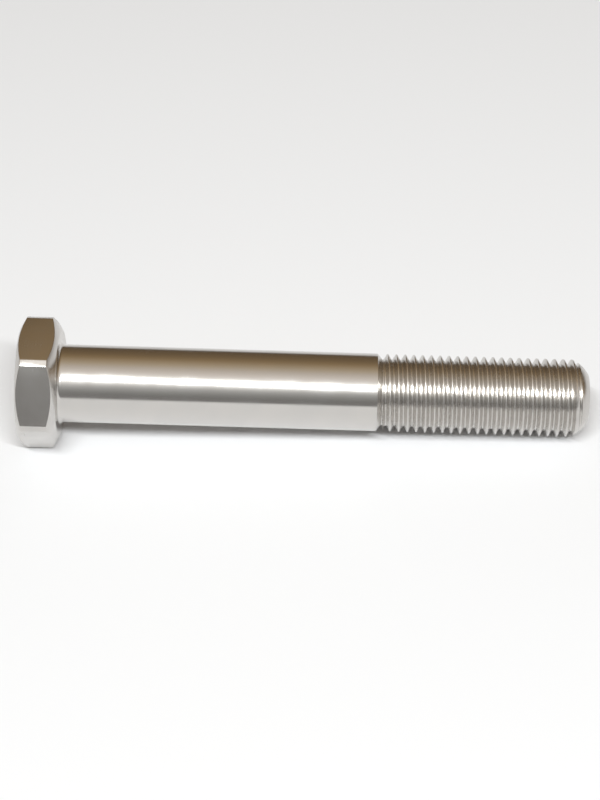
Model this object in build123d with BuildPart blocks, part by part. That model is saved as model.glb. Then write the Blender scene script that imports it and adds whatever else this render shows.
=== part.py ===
"""Partly threaded hexagon-head bolt, 3/8-24 UNF x 2-1/2 in, 9/16 in across flats.

Units are millimetres. The origin is the centre of the bearing face under the head,
on the bolt's axis. +X runs from the head to the point and +Z is square to a hexagon
flat, so the bolt lies on a table on one flat with +Z up. The thread is right-handed.

The real bolt is one piece of steel, so the model ends as one solid. It is built in
three blocks: the path of the threading tool, the threaded end, then the whole bolt.
"""

from build123d import *
import math
import os

os.makedirs("parts", exist_ok=True)

# ---------------------------------------------------------------- driving sizes
nominal_diameter = 9.525  # 3/8 in
threads_per_inch = 24
under_head_length = 63.5  # 2-1/2 in, bearing face to the end of the point
threaded_length = 25.4  # 1 in, measured back from the end of the point
shank_allowance = 0.125  # plain shank, under the nominal diameter
crest_allowance = 0.185  # thread's major diameter, under the nominal diameter

across_flats = 14.2875  # 9/16 in
head_height = 4.7625  # 3/16 in
corner_facet = 0.80  # width of the narrow flat along each corner of the hexagon
chamfer_angle = 30.0  # slope of both head chamfers, from the end faces
crown_inset = 0.33  # outer end: the chamfer's circle, inside the flats
washer_inset = 0.74  # bearing side: the same, leaving the round bearing face
crown_edge_radius = 0.12  # broken edge round the outer end face
under_head_fillet = 0.50

crest_flat_ratio = 1 / 8  # thread form, in pitches
thread_depth_ratio = 0.6134  # thread form, in pitches
thread_phase = -70.0  # turn of the whole thread about the axis, degrees
cutter_lift = 0.05  # how far the tool's section stands out of the crests

shoulder_run = 0.60  # chamfer that ends the plain shank
neck_run = 0.08  # narrow neck at the root of the thread
neck_exit_run = 0.30  # slope from the neck up to the first crest
neck_clearance = 0.03  # the neck, under the thread's root

point_pitches = 1.8  # length of the turned point, in pitches
point_ratio = 0.62  # flat end of the point, over the nominal diameter
point_swell = 0.085  # rise of the point's curve over its chord, per unit of chord

# ---------------------------------------------------------------- derived sizes
pitch = 25.4 / threads_per_inch
shank_radius = (nominal_diameter - shank_allowance) / 2
crest_radius = (nominal_diameter - crest_allowance) / 2
root_radius = crest_radius - thread_depth_ratio * pitch
neck_radius = root_radius - neck_clearance

shank_end = under_head_length - threaded_length
shoulder_foot = shank_end + shoulder_run
neck_end = shoulder_foot + neck_run
first_crest = neck_end + neck_exit_run
point_start = under_head_length - point_pitches * pitch
point_radius = point_ratio * nominal_diameter / 2

# ---------------------------------------------------------------- threading tool
# The tool's section is a 60 degree vee with a rounded root, carried round a helix.
half_mouth = (1 - crest_flat_ratio) * pitch / 2
flank_slope = math.tan(math.radians(30))
apex_radius = crest_radius - half_mouth / flank_slope
nose_radius = root_radius - apex_radius
nose_top = apex_radius + 1.5 * nose_radius
nose_half_width = nose_radius * math.cos(math.radians(30))
tool_radius = crest_radius + cutter_lift
tool_half_width = half_mouth + cutter_lift * flank_slope

# the bar the thread is cut in stands past both ends of the thread, and is trimmed later
run_out = 2 * pitch
bar_start = shoulder_foot - 2 * run_out
bar_end = under_head_length + 2 * run_out
helix_start = shoulder_foot - run_out
helix_end = under_head_length + run_out

with BuildPart() as thread_groove:
    with BuildLine() as tool_path:
        Helix(
            pitch=pitch,
            height=helix_end - helix_start,
            radius=tool_radius,
            center=(helix_start, 0, 0),
            direction=(1, 0, 0),
        )
    start_point = tool_path.line @ 0
    outward = Vector(0, start_point.Y, start_point.Z).normalized()
    section_plane = Plane(
        origin=(helix_start, 0, 0),
        x_dir=(1, 0, 0),
        z_dir=Vector(1, 0, 0).cross(outward),
    )
    with BuildSketch(section_plane) as tool_section:
        with BuildLine():
            mouth = Line((-tool_half_width, tool_radius), (tool_half_width, tool_radius))
            flank = Line(mouth @ 1, (nose_half_width, nose_top))
            nose = ThreePointArc(flank @ 1, (0, root_radius), (-nose_half_width, nose_top))
            Line(nose @ 1, mouth @ 0)
        make_face()
    sweep(path=tool_path.line, is_frenet=True)

# ---------------------------------------------------------------- threaded end
with BuildPart() as threaded_end:
    with BuildSketch(Plane.YZ.offset(bar_start)):
        Circle(crest_radius)
    extrude(amount=bar_end - bar_start)
    add(thread_groove.part, rotation=(thread_phase, 0, 0), mode=Mode.SUBTRACT)
    # turn down the head side to the neck, with a slope up to the first crest
    trim_rise = 0.3
    trim_radius = crest_radius + trim_rise
    slope_overrun = trim_rise * neck_exit_run / (crest_radius - neck_radius)
    with BuildSketch(Plane.XY) as neck_turning:
        with BuildLine():
            Polyline(
                (bar_start - 1, 0),
                (shoulder_foot, 0),
                (shoulder_foot, neck_radius),
                (neck_end, neck_radius),
                (first_crest, crest_radius),
                (first_crest + slope_overrun, trim_radius),
                (bar_start - 1, trim_radius),
                close=True,
            )
        make_face()
    revolve(axis=Axis.X, mode=Mode.SUBTRACT)
    # turn the point: a chamfer with a slight swell, down to a flat end
    point_run = under_head_length - point_start
    point_rise = crest_radius - point_radius
    with BuildSketch(Plane.XY) as point_turning:
        with BuildLine():
            swell = ThreePointArc(
                (point_start, crest_radius),
                (
                    point_start + point_run / 2 + point_swell * point_rise,
                    point_radius + point_rise / 2 + point_swell * point_run,
                ),
                (under_head_length, point_radius),
            )
            run_up = swell % 0
            lift = trim_rise / -run_up.Y
            Polyline(
                swell @ 1,
                (under_head_length, 0),
                (bar_end + 1, 0),
                (bar_end + 1, trim_radius),
                (point_start - lift * run_up.X, trim_radius),
                swell @ 0,
            )
        make_face()
    revolve(axis=Axis.X, mode=Mode.SUBTRACT)

# ---------------------------------------------------------------- whole bolt
with BuildPart() as hex_bolt:
    # the head: a hexagon bar with a narrow flat along each corner
    with BuildSketch(Plane.YZ.offset(-head_height)) as hexagon:
        RegularPolygon(radius=across_flats / 2, side_count=6, major_radius=False)
        chamfer(hexagon.vertices(), length=corner_facet / (2 * math.cos(math.radians(30))))
    extrude(amount=head_height)
    # its corners turned off at both ends
    corner_radius = across_flats / math.sqrt(3)
    chamfer_slope = math.tan(math.radians(chamfer_angle))
    crown_circle = across_flats / 2 - crown_inset
    washer_circle = across_flats / 2 - washer_inset
    with BuildSketch(Plane.XY) as head_turning:
        with BuildLine():
            Polyline(
                (-head_height, 0),
                (-head_height, crown_circle),
                (-head_height + (corner_radius - crown_circle) * chamfer_slope, corner_radius),
                (-(corner_radius - washer_circle) * chamfer_slope, corner_radius),
                (0, washer_circle),
                (0, 0),
                close=True,
            )
        make_face()
    revolve(axis=Axis.X, mode=Mode.INTERSECT)
    # the plain shank, with the chamfer that leads down to the root of the thread
    with BuildSketch(Plane.XY) as shank_turning:
        with BuildLine():
            Polyline(
                (-head_height / 2, 0),
                (-head_height / 2, shank_radius),
                (shank_end, shank_radius),
                (shoulder_foot, neck_radius),
                (shoulder_foot, 0),
                close=True,
            )
        make_face()
    revolve(axis=Axis.X)
    circles = hex_bolt.edges().filter_by(GeomType.CIRCLE)
    throat = circles.filter_by(lambda edge: abs(edge.radius - shank_radius) < 0.001).sort_by(Axis.X)[0]
    fillet(throat, radius=under_head_fillet)
    crown_rim = hex_bolt.edges().filter_by(GeomType.CIRCLE).sort_by(Axis.X)[0]
    fillet(crown_rim, radius=crown_edge_radius)
    add(threaded_end.part)

hex_bolt.part.label = "hex_bolt"
hex_bolt.part.color = Color(0.62, 0.61, 0.59)
export_step(hex_bolt.part, "parts/hex_bolt.step")
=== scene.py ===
import math

import bpy
from mathutils import Matrix, Vector


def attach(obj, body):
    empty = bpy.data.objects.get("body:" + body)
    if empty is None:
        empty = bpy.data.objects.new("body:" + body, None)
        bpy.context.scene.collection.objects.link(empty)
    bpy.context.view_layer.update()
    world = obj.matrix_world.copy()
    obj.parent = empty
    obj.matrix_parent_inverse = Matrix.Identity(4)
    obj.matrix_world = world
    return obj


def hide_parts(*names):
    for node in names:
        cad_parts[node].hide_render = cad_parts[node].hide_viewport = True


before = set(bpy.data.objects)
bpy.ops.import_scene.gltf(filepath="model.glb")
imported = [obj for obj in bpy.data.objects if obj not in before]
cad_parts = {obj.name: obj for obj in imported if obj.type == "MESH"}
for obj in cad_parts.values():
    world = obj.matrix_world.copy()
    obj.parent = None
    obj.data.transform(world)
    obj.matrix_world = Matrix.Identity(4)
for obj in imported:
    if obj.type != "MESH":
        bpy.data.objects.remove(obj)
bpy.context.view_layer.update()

# ------------------------------------------------------------------------------ head
# The head is hot-forged from the bar's end and then machined. Its six flats are ground
# to a satin finish, a narrow flat runs down each corner, and the corners are turned off
# at both ends. The bearing side keeps a round washer face.
mm = 0.001
across_flats = 14.2875 * mm
head_height = 4.7625 * mm
corner_facet = 0.80 * mm
crown_circle = across_flats / 2 - 0.33 * mm
washer_circle = across_flats / 2 - 0.74 * mm
chamfer_slope = math.tan(math.radians(30))
head_edge_break = 0.045 * mm
crown_edge_break = 0.11 * mm
turned_steps = 192


def pick_edges(piece, wanted):
    """Leaves only the edges selected whose two ends satisfy wanted(a, b)."""
    bpy.ops.object.mode_set(mode="EDIT")
    bpy.ops.mesh.select_mode(type="EDGE")
    bpy.ops.mesh.select_all(action="DESELECT")
    bpy.ops.object.mode_set(mode="OBJECT")
    points = piece.data.vertices
    for edge in piece.data.edges:
        edge.select = wanted(points[edge.vertices[0]].co, points[edge.vertices[1]].co)
    bpy.ops.object.mode_set(mode="EDIT")


def from_axis(point):
    """A point's distance from the bolt's axis."""
    return math.hypot(point.y, point.z)


def close_up(piece):
    """Merges doubled points and turns every face outwards."""
    bpy.ops.object.mode_set(mode="EDIT")
    bpy.ops.mesh.select_all(action="SELECT")
    bpy.ops.mesh.remove_doubles(threshold=0.0004 * mm)
    bpy.ops.mesh.normals_make_consistent(inside=False)
    bpy.ops.object.mode_set(mode="OBJECT")


def combine(piece, other, how):
    """Cuts piece with other, or joins them, and throws the other away."""
    bpy.ops.object.select_all(action="DESELECT")
    piece.select_set(True)
    bpy.context.view_layer.objects.active = piece
    cut = piece.modifiers.new("cut", "BOOLEAN")
    cut.operation = how
    cut.solver = "EXACT"
    cut.material_mode = "TRANSFER"
    cut.object = other
    bpy.ops.object.modifier_apply(modifier=cut.name)
    bpy.data.objects.remove(other)
    close_up(piece)


bpy.ops.object.select_all(action="DESELECT")
bpy.ops.mesh.primitive_cylinder_add(
    vertices=6,
    radius=across_flats / math.sqrt(3),
    depth=head_height,
    location=(-head_height / 2, 0, 0),
    rotation=(0, math.pi / 2, 0),
)
bolt = bpy.context.object
bolt.name = "bolt"
bpy.ops.object.transform_apply(location=True, rotation=True, scale=True)
pick_edges(bolt, lambda a, b: abs(a.x - b.x) > 1 * mm)
bpy.ops.mesh.bevel(offset=corner_facet / math.sqrt(3), segments=1, affect="EDGES")
bpy.ops.object.mode_set(mode="OBJECT")

# both ends' corners are turned off by a cone
for circle, tip, way in ((crown_circle, -head_height, 1), (washer_circle, 0, -1)):
    overrun = 0.5 * mm
    length = head_height + 2 * overrun
    bpy.ops.object.select_all(action="DESELECT")
    bpy.ops.mesh.primitive_cone_add(
        vertices=turned_steps,
        radius1=circle - overrun / chamfer_slope,
        radius2=circle + (length - overrun) / chamfer_slope,
        depth=length,
        location=(tip + way * (length / 2 - overrun), 0, 0),
        rotation=(0, way * math.pi / 2, 0),
    )
    cone = bpy.context.object
    bpy.ops.object.transform_apply(location=True, rotation=True, scale=True)
    combine(bolt, cone, "INTERSECT")

# sharp edges are broken a little, the crown's rim rather more
pick_edges(
    bolt,
    lambda a, b: max(a.x, b.x) < -head_height + 0.001 * mm
    and min(from_axis(a), from_axis(b)) > crown_circle - 0.02 * mm,
)
bpy.ops.mesh.bevel(offset=crown_edge_break, segments=3, affect="EDGES", clamp_overlap=True)
bpy.ops.object.mode_set(mode="OBJECT")
edge_break = bolt.modifiers.new("edge break", "BEVEL")
edge_break.limit_method = "ANGLE"
edge_break.angle_limit = math.radians(20)
edge_break.width = head_edge_break
edge_break.segments = 2
bpy.ops.object.modifier_apply(modifier=edge_break.name)
close_up(bolt)

# ------------------------------------------------------------------------------ shank
# The plain shank is turned from the bar. It runs into the head through a small fillet,
# and ends in a short chamfer that leads down to the root of the thread.
shank_radius = 4.70 * mm
under_head_fillet = 0.50 * mm
shank_end = 38.10 * mm
shoulder_foot = 38.70 * mm
neck_radius = 3.9908 * mm
shank_tail = 38.76 * mm


def draw_outline(name, points):
    """A line of edges in the plane of the axis and +Z, from (x, radius) to (x, radius)."""
    bpy.ops.object.select_all(action="DESELECT")
    bpy.ops.mesh.primitive_plane_add(size=1 * mm, location=(points[0][0], 0, points[0][1]))
    outline = bpy.context.object
    outline.name = name
    bpy.ops.object.transform_apply(location=True, rotation=True, scale=True)
    bpy.ops.object.mode_set(mode="EDIT")
    bpy.ops.mesh.select_mode(type="VERT")
    bpy.ops.mesh.select_all(action="SELECT")
    bpy.ops.mesh.merge(type="CENTER")
    for (x0, r0), (x1, r1) in zip(points, points[1:]):
        bpy.ops.mesh.extrude_vertices_move(TRANSFORM_OT_translate={"value": (x1 - x0, 0, r1 - r0)})
    bpy.ops.object.mode_set(mode="OBJECT")
    return outline


def turn_on_lathe(name, points):
    """Spins a closed outline round the bolt's axis."""
    piece = draw_outline(name, points)
    bpy.ops.object.mode_set(mode="EDIT")
    bpy.ops.mesh.select_all(action="SELECT")
    bpy.ops.mesh.spin(steps=turned_steps, angle=2 * math.pi, center=(0, 0, 0), axis=(1, 0, 0))
    bpy.ops.object.mode_set(mode="OBJECT")
    close_up(piece)
    return piece


fillet_centre = shank_radius + under_head_fillet
fillet_curve = [
    (
        under_head_fillet * (1 - math.cos(math.radians(turn))),
        fillet_centre - under_head_fillet * math.sin(math.radians(turn)),
    )
    for turn in range(0, 91, 10)
]
tail_radius = neck_radius - (shank_tail - shoulder_foot) * (shank_radius - neck_radius) / (
    shoulder_foot - shank_end
)
shank = turn_on_lathe(
    "shank",
    [(-head_height / 2, 0), (-head_height / 2, fillet_centre)]
    + fillet_curve
    + [
        (shank_end - 0.05 * mm, shank_radius),
        (shank_end - 0.01 * mm, shank_radius - 0.008 * mm),
        (shank_end + 0.01 * mm, shank_radius - 0.03 * mm),
        (shank_tail, tail_radius),
        (shank_tail, 0),
    ],
)

# ------------------------------------------------------------------------------ thread
# The thread is rolled or cut on the last inch: 24 to the inch, right-handed, with a
# rounded root and a narrow flat on each crest. A neck at root depth joins it to the
# shank, and the point is turned off to a blunt, slightly swelling chamfer.
pitch = 25.4 / 24 * mm
crest_radius = 4.67 * mm
root_radius = crest_radius - 0.6134 * pitch
half_mouth = 7 / 16 * pitch
root_curve_radius = root_radius - (crest_radius - half_mouth * math.sqrt(3))
crest_break = 0.03 * mm
first_groove = 36.7891 * mm
turns = 26
neck_end = 38.78 * mm
first_crest = 39.08 * mm
point_start = 61.595 * mm
point_end = 63.50 * mm
point_radius = 2.9528 * mm
point_swell = 0.085
thread_steps = 96

# one pitch of the thread, from the middle of one crest to the middle of the next
half_groove = [
    (
        root_curve_radius * math.sin(math.radians(turn)),
        root_radius + root_curve_radius * (1 - math.cos(math.radians(turn))),
    )
    for turn in (15, 30, 45, 60)
] + [
    (half_mouth - crest_break / 2, crest_radius - crest_break * math.cos(math.radians(30))),
    (half_mouth + crest_break * 0.25, crest_radius - crest_break * 0.22),
    (half_mouth + crest_break, crest_radius),
    (pitch / 2, crest_radius),
]
one_groove = (
    [(first_groove - x, r) for x, r in reversed(half_groove)]
    + [(first_groove, root_radius)]
    + [(first_groove + x, r) for x, r in half_groove]
)
thread = draw_outline("thread", one_groove)
winding = thread.modifiers.new("winding", "SCREW")
winding.axis = "X"
winding.angle = 2 * math.pi
winding.screw_offset = pitch
winding.iterations = turns
winding.steps = thread_steps
winding.render_steps = thread_steps
winding.use_merge_vertices = True
winding.merge_threshold = 0.0004 * mm
bpy.ops.object.modifier_apply(modifier=winding.name)
close_up(thread)

# each open end is drawn in to a point
middle = first_groove + turns / 2 * pitch
for way in (-1, 1):
    bpy.ops.object.mode_set(mode="EDIT")
    bpy.ops.mesh.select_mode(type="EDGE")
    bpy.ops.mesh.select_all(action="DESELECT")
    bpy.ops.mesh.select_non_manifold(use_wire=False, use_boundary=True)
    bpy.ops.object.mode_set(mode="OBJECT")
    for edge in thread.data.edges:
        if edge.select and (thread.data.vertices[edge.vertices[0]].co.x - middle) * way < 0:
            edge.select = False
    for face in thread.data.polygons:
        face.select = False
    bpy.ops.object.mode_set(mode="EDIT")
    bpy.ops.mesh.select_mode(type="EDGE")
    bpy.ops.mesh.extrude_edges_move(TRANSFORM_OT_translate={"value": (way * pitch, 0, 0)})
    bpy.ops.mesh.merge(type="CENTER")
    bpy.ops.object.mode_set(mode="OBJECT")
close_up(thread)

# the turned shape that the thread is cut in: neck, slope, and the swelling point
point_run = point_end - point_start
point_rise = crest_radius - point_radius
chord = math.hypot(point_run, point_rise)
swell = point_swell * chord
bow_radius = (chord * chord / 4 + swell * swell) / (2 * swell)
across_chord = Vector((point_rise, point_run)) / chord
chord_middle = Vector((point_start + point_run / 2, point_radius + point_rise / 2))
bow_centre = chord_middle - across_chord * (bow_radius - swell)
bow_half_angle = math.asin(chord / 2 / bow_radius)
along_chord = Vector((point_run, -point_rise)) / chord
bow = [
    bow_centre
    + across_chord * (bow_radius * math.cos(bow_half_angle * part))
    + along_chord * (bow_radius * math.sin(bow_half_angle * part))
    for part in (-1.3, -1, -0.75, -0.5, -0.25, 0, 0.25, 0.5, 0.75, 0.97)
]
slope_overrun = 0.3 * mm
blank = turn_on_lathe(
    "blank",
    [
        (shank_end - 0.5 * mm, 0),
        (shank_end - 0.5 * mm, neck_radius),
        (neck_end, neck_radius),
        (
            first_crest + slope_overrun,
            crest_radius + slope_overrun * (crest_radius - neck_radius) / (first_crest - neck_end),
        ),
    ]
    + [(point.x, point.y) for point in bow]
    + [(point_end, point_radius - 0.05 * mm), (point_end, 0)],
)
combine(thread, blank, "INTERSECT")

combine(bolt, shank, "UNION")
combine(bolt, thread, "UNION")
bpy.ops.object.select_all(action="DESELECT")
bolt.select_set(True)
bpy.context.view_layer.objects.active = bolt
bpy.ops.object.shade_smooth_by_angle(angle=math.radians(32))

# ------------------------------------------------------------------------------ bare steel
# The whole bolt is one bare steel, plain and unplated. Turning leaves fine rings on the
# shank and end faces, grinding leaves a fine grain on the flats, and handling dulls it.
steel_colour = (0.61, 0.59, 0.565, 1)


def node_group(name, inputs, outputs):
    """An empty shader group with named number inputs and outputs."""
    group = bpy.data.node_groups.new(name, "ShaderNodeTree")
    for label, value in inputs:
        socket = group.interface.new_socket(label, in_out="INPUT", socket_type="NodeSocketFloat")
        socket.default_value = value
    for label in outputs:
        group.interface.new_socket(label, in_out="OUTPUT", socket_type="NodeSocketFloat")
    entry = group.nodes.new("NodeGroupInput")
    leave = group.nodes.new("NodeGroupOutput")
    return group, entry, leave


def do_math(tree, operation, first, second=None):
    """A Math node; each input is a number or another node's output."""
    node = tree.nodes.new("ShaderNodeMath")
    node.operation = operation
    for socket, value in zip(node.inputs, (first, second)):
        if value is None:
            continue
        if isinstance(value, (int, float)):
            socket.default_value = value
        else:
            tree.links.new(value, socket)
    return node.outputs[0]


# rings left by turning: round the axis on the sides, round the centre on the end faces
turning_rings, entry, leave = node_group(
    "turning rings", [("Rings per metre", 9000.0), ("End rings per metre", 9000.0)], ["Height", "Tone"]
)
links = turning_rings.links
place = turning_rings.nodes.new("ShaderNodeTexCoord")
split = turning_rings.nodes.new("ShaderNodeSeparateXYZ")
links.new(place.outputs["Object"], split.inputs[0])
square_y = do_math(turning_rings, "MULTIPLY", split.outputs["Y"], split.outputs["Y"])
square_z = do_math(turning_rings, "MULTIPLY", split.outputs["Z"], split.outputs["Z"])
radius = do_math(turning_rings, "SQRT", do_math(turning_rings, "ADD", square_y, square_z))
facing = turning_rings.nodes.new("ShaderNodeNewGeometry")
facing_split = turning_rings.nodes.new("ShaderNodeSeparateXYZ")
links.new(facing.outputs["True Normal"], facing_split.inputs[0])
end_face = do_math(
    turning_rings, "GREATER_THAN", do_math(turning_rings, "ABSOLUTE", facing_split.outputs["X"]), 0.9
)
noises = []
for distance, rate in ((split.outputs["X"], "Rings per metre"), (radius, "End rings per metre")):
    noise = turning_rings.nodes.new("ShaderNodeTexNoise")
    noise.noise_dimensions = "1D"
    noise.inputs["Scale"].default_value = 1
    noise.inputs["Detail"].default_value = 4
    noise.inputs["Roughness"].default_value = 0.65
    links.new(do_math(turning_rings, "MULTIPLY", distance, entry.outputs[rate]), noise.inputs["W"])
    noises.append(noise.outputs["Fac"])
choose = turning_rings.nodes.new("ShaderNodeMix")
choose.data_type = "FLOAT"
links.new(end_face, choose.inputs["Factor"])
links.new(noises[0], choose.inputs[2])
links.new(noises[1], choose.inputs[3])
links.new(choose.outputs[0], leave.inputs["Height"])
tone = turning_rings.nodes.new("ShaderNodeMapRange")
tone.inputs["From Min"].default_value = 0.3
tone.inputs["From Max"].default_value = 0.7
links.new(choose.outputs[0], tone.inputs["Value"])
links.new(tone.outputs["Result"], leave.inputs["Tone"])

# soft uneven dulling left by handling and by tumbling with other bolts
handling, entry, leave = node_group("handling", [("Patches per metre", 350.0)], ["Dulling", "Grain"])
links = handling.links
place = handling.nodes.new("ShaderNodeTexCoord")
patches = handling.nodes.new("ShaderNodeTexNoise")
patches.inputs["Detail"].default_value = 5
patches.inputs["Roughness"].default_value = 0.55
links.new(place.outputs["Object"], patches.inputs["Vector"])
links.new(entry.outputs["Patches per metre"], patches.inputs["Scale"])
spread = handling.nodes.new("ShaderNodeMapRange")
spread.interpolation_type = "SMOOTHSTEP"
spread.inputs["From Min"].default_value = 0.35
spread.inputs["From Max"].default_value = 0.68
links.new(patches.outputs["Fac"], spread.inputs["Value"])
links.new(spread.outputs["Result"], leave.inputs["Dulling"])
grain = handling.nodes.new("ShaderNodeTexNoise")
grain.inputs["Detail"].default_value = 3
grain.inputs["Roughness"].default_value = 0.6
links.new(place.outputs["Object"], grain.inputs["Vector"])
links.new(
    do_math(handling, "MULTIPLY", entry.outputs["Patches per metre"], 18.0), grain.inputs["Scale"]
)
links.new(grain.outputs["Fac"], leave.inputs["Grain"])


def bare_steel(name, smoothest, roughest, ring_rate, ring_depth, grain_depth, patch_rate, tint):
    """Bare machined steel: rings and grain as bump, patches as changes of gloss and tone."""
    steel = bpy.data.materials.new(name)
    steel.use_nodes = True
    tree = steel.node_tree
    shader = tree.nodes["Principled BSDF"]
    shader.inputs["Metallic"].default_value = 1
    rings = tree.nodes.new("ShaderNodeGroup")
    rings.node_tree = turning_rings
    rings.inputs["Rings per metre"].default_value = ring_rate
    rings.inputs["End rings per metre"].default_value = ring_rate * 0.6
    wear = tree.nodes.new("ShaderNodeGroup")
    wear.node_tree = handling
    wear.inputs["Patches per metre"].default_value = patch_rate

    colour = tree.nodes.new("ShaderNodeMix")
    colour.data_type = "RGBA"
    colour.inputs[6].default_value = steel_colour
    colour.inputs[7].default_value = tint
    blend = do_math(tree, "MULTIPLY", wear.outputs["Dulling"], 0.7)
    blend = do_math(tree, "ADD", blend, do_math(tree, "MULTIPLY", rings.outputs["Tone"], 0.3))
    tree.links.new(blend, colour.inputs["Factor"])
    tree.links.new(colour.outputs[2], shader.inputs["Base Color"])

    gloss = tree.nodes.new("ShaderNodeMapRange")
    gloss.inputs["To Min"].default_value = smoothest
    gloss.inputs["To Max"].default_value = roughest
    mixed = do_math(tree, "MULTIPLY", wear.outputs["Dulling"], 0.6)
    mixed = do_math(tree, "ADD", mixed, do_math(tree, "MULTIPLY", rings.outputs["Tone"], 0.4))
    tree.links.new(mixed, gloss.inputs["Value"])
    tree.links.new(gloss.outputs["Result"], shader.inputs["Roughness"])

    ring_bump = tree.nodes.new("ShaderNodeBump")
    ring_bump.inputs["Distance"].default_value = ring_depth
    tree.links.new(rings.outputs["Height"], ring_bump.inputs["Height"])
    grain_bump = tree.nodes.new("ShaderNodeBump")
    grain_bump.inputs["Distance"].default_value = grain_depth
    tree.links.new(wear.outputs["Grain"], grain_bump.inputs["Height"])
    tree.links.new(ring_bump.outputs["Normal"], grain_bump.inputs["Normal"])
    tree.links.new(grain_bump.outputs["Normal"], shader.inputs["Normal"])
    return steel


head_steel = bare_steel(
    "satin_head_steel", 0.20, 0.28, 5000, 0.0000003, 0.0000008, 420, (0.565, 0.55, 0.53, 1)
)
shank_steel = bare_steel(
    "turned_shank_steel", 0.13, 0.20, 9000, 0.0000012, 0.0000012, 300, (0.585, 0.57, 0.55, 1)
)
thread_steel = bare_steel(
    "thread_steel", 0.20, 0.30, 9000, 0.0000010, 0.0000012, 500, (0.56, 0.54, 0.515, 1)
)
bolt.data.materials.clear()
for steel in (head_steel, shank_steel, thread_steel):
    bolt.data.materials.append(steel)
for face in bolt.data.polygons:
    if face.center.x > (shoulder_foot + shank_end) / 2:
        face.material_index = 2
    elif face.center.x > 0.001 * mm:
        face.material_index = 1
    else:
        face.material_index = 0

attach(bolt, "root")
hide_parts("hex_bolt")

# ------------------------------------------------------------------------------ floor
# A sheet of plain white card. The bolt rests on it by the edge of its lower flat and by
# its last crests, so the card leans a little with respect to the bolt's axis.
floor_size = 6.0
rest_x = -0.43 * mm
rest_z = -across_flats / 2
card_gap = 0.01 * mm
floor_slope = 0.0400
bpy.ops.object.select_all(action="DESELECT")
bpy.ops.mesh.primitive_plane_add(size=floor_size, location=(rest_x, 0, rest_z - card_gap))
floor = bpy.context.object
floor.name = "floor"
floor.rotation_euler = (0, -math.atan(floor_slope), 0)
card = bpy.data.materials.new("white_card")
card.use_nodes = True
card_shader = card.node_tree.nodes["Principled BSDF"]
card_shader.inputs["Base Color"].default_value = (0.93, 0.93, 0.94, 1)
card_shader.inputs["Roughness"].default_value = 0.9
card_shader.inputs["Specular IOR Level"].default_value = 0.1
floor.data.materials.append(card)

# ------------------------------------------------------------------------------ light
# A long narrow lamp hangs high over the near side, in a room that is warm and dim behind
# the bolt and grey and dim in front of it. The steel reflects the whole room; the card
# is lit by only a part of it, and seen straight the room is plain and pale.
lamp_data = bpy.data.lights.new("lamp", "AREA")
lamp_data.shape = "RECTANGLE"
lamp_data.size = 0.50
lamp_data.size_y = 0.03
lamp_data.energy = 3.7
lamp_data.color = (0.965, 0.99, 1.0)
lamp = bpy.data.objects.new("lamp", lamp_data)
bpy.context.collection.objects.link(lamp)
lamp_height = math.radians(59)
lamp_distance = 0.60
lamp_direction = Vector((0, -math.cos(lamp_height), math.sin(lamp_height)))
lamp.location = Vector((0.03, 0, 0)) + lamp_direction * lamp_distance
lamp_length = Vector((0.226, -0.063, -0.038)).normalized()
lamp_width = lamp_direction.cross(lamp_length)
lamp.rotation_euler = Matrix((lamp_length, lamp_width, lamp_direction)).transposed().to_euler()

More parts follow.
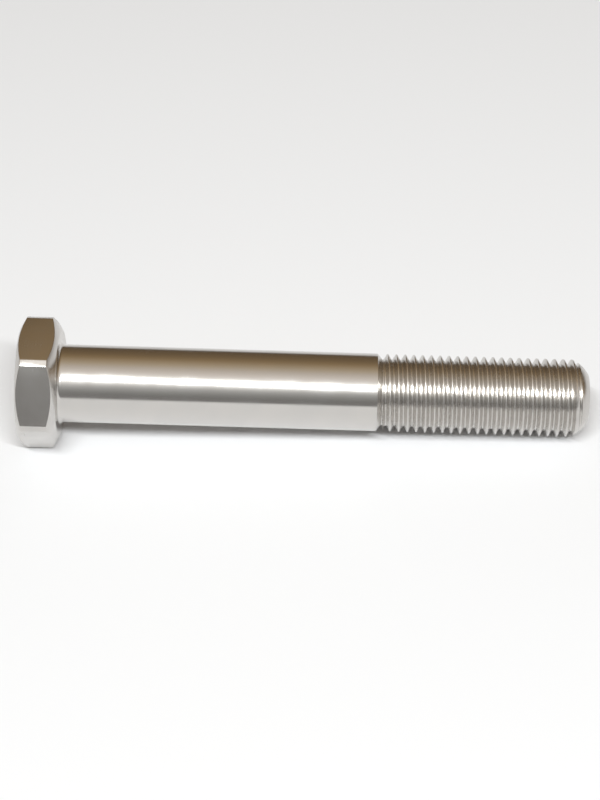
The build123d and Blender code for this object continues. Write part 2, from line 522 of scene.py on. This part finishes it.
room = bpy.data.worlds.new("room")
bpy.context.scene.world = room
room.use_nodes = True
tree = room.node_tree
backdrop = tree.nodes["Background"]
way = tree.nodes.new("ShaderNodeTexCoord")
way_split = tree.nodes.new("ShaderNodeSeparateXYZ")
tree.links.new(way.outputs["Generated"], way_split.inputs[0])
toward_front = do_math(tree, "MULTIPLY", way_split.outputs["Y"], -1)
round_angle = do_math(tree, "ARCTAN2", way_split.outputs["Z"], toward_front)
ramp_place = do_math(tree, "DIVIDE", round_angle, math.pi)
walls = tree.nodes.new("ShaderNodeValToRGB")
stops = [
    (0, (0.245, 0.24, 0.235)),
    (14, (0.265, 0.26, 0.255)),
    (24, (0.36, 0.36, 0.35)),
    (34, (0.50, 0.50, 0.49)),
    (48, (0.85, 0.83, 0.80)),
    (65, (1.00, 0.97, 0.93)),
    (80, (0.88, 0.81, 0.74)),
    (92, (0.72, 0.65, 0.57)),
    (108, (0.56, 0.46, 0.33)),
    (119, (0.45, 0.34, 0.215)),
    (131, (0.33, 0.23, 0.125)),
    (144, (0.24, 0.165, 0.09)),
    (160, (0.185, 0.128, 0.073)),
    (180, (0.14, 0.103, 0.07)),
]
while len(walls.color_ramp.elements) < len(stops):
    walls.color_ramp.elements.new(0.5)
for element, (angle, colour) in zip(walls.color_ramp.elements, stops):
    element.position = angle / 180
    element.color = (*colour, 1)
tree.links.new(ramp_place, walls.inputs["Fac"])
tree.links.new(walls.outputs["Color"], backdrop.inputs["Color"])
pale = tree.nodes.new("ShaderNodeBackground")
pale.inputs["Color"].default_value = (0.93, 0.93, 0.94, 1)
eye = tree.nodes.new("ShaderNodeLightPath")
card_dimming = 0.65
dimmed = do_math(tree, "MULTIPLY", eye.outputs["Is Diffuse Ray"], card_dimming)
tree.links.new(do_math(tree, "SUBTRACT", 1.0, dimmed), backdrop.inputs["Strength"])
either = tree.nodes.new("ShaderNodeMixShader")
tree.links.new(eye.outputs["Is Camera Ray"], either.inputs[0])
tree.links.new(backdrop.outputs[0], either.inputs[1])
tree.links.new(pale.outputs[0], either.inputs[2])
tree.links.new(either.outputs[0], tree.nodes["World Output"].inputs["Surface"])

bpy.context.scene.view_settings.view_transform = "Standard"

# ------------------------------------------------------------------------------ camera
# The camera looks down on the bolt from the near side, a quarter of a metre away,
# through a long lens and square to the bolt's axis.
camera_data = bpy.data.cameras.new("camera")
camera_data.sensor_width = 36
camera_data.lens = 95.043
camera_data.clip_start = 0.005
camera = bpy.data.objects.new("camera", camera_data)
bpy.context.collection.objects.link(camera)
camera_right = Vector((0.999558, 0.022464, 0.019488)).normalized()
camera_forward = Vector((-0.002608, 0.718992, -0.695013)).normalized()
camera_up = camera_right.cross(camera_forward).normalized()
camera.location = (0.029560, -0.184218, 0.176417)
camera.rotation_euler = Matrix((camera_right, camera_up, -camera_forward)).transposed().to_euler()
bpy.context.scene.camera = camera
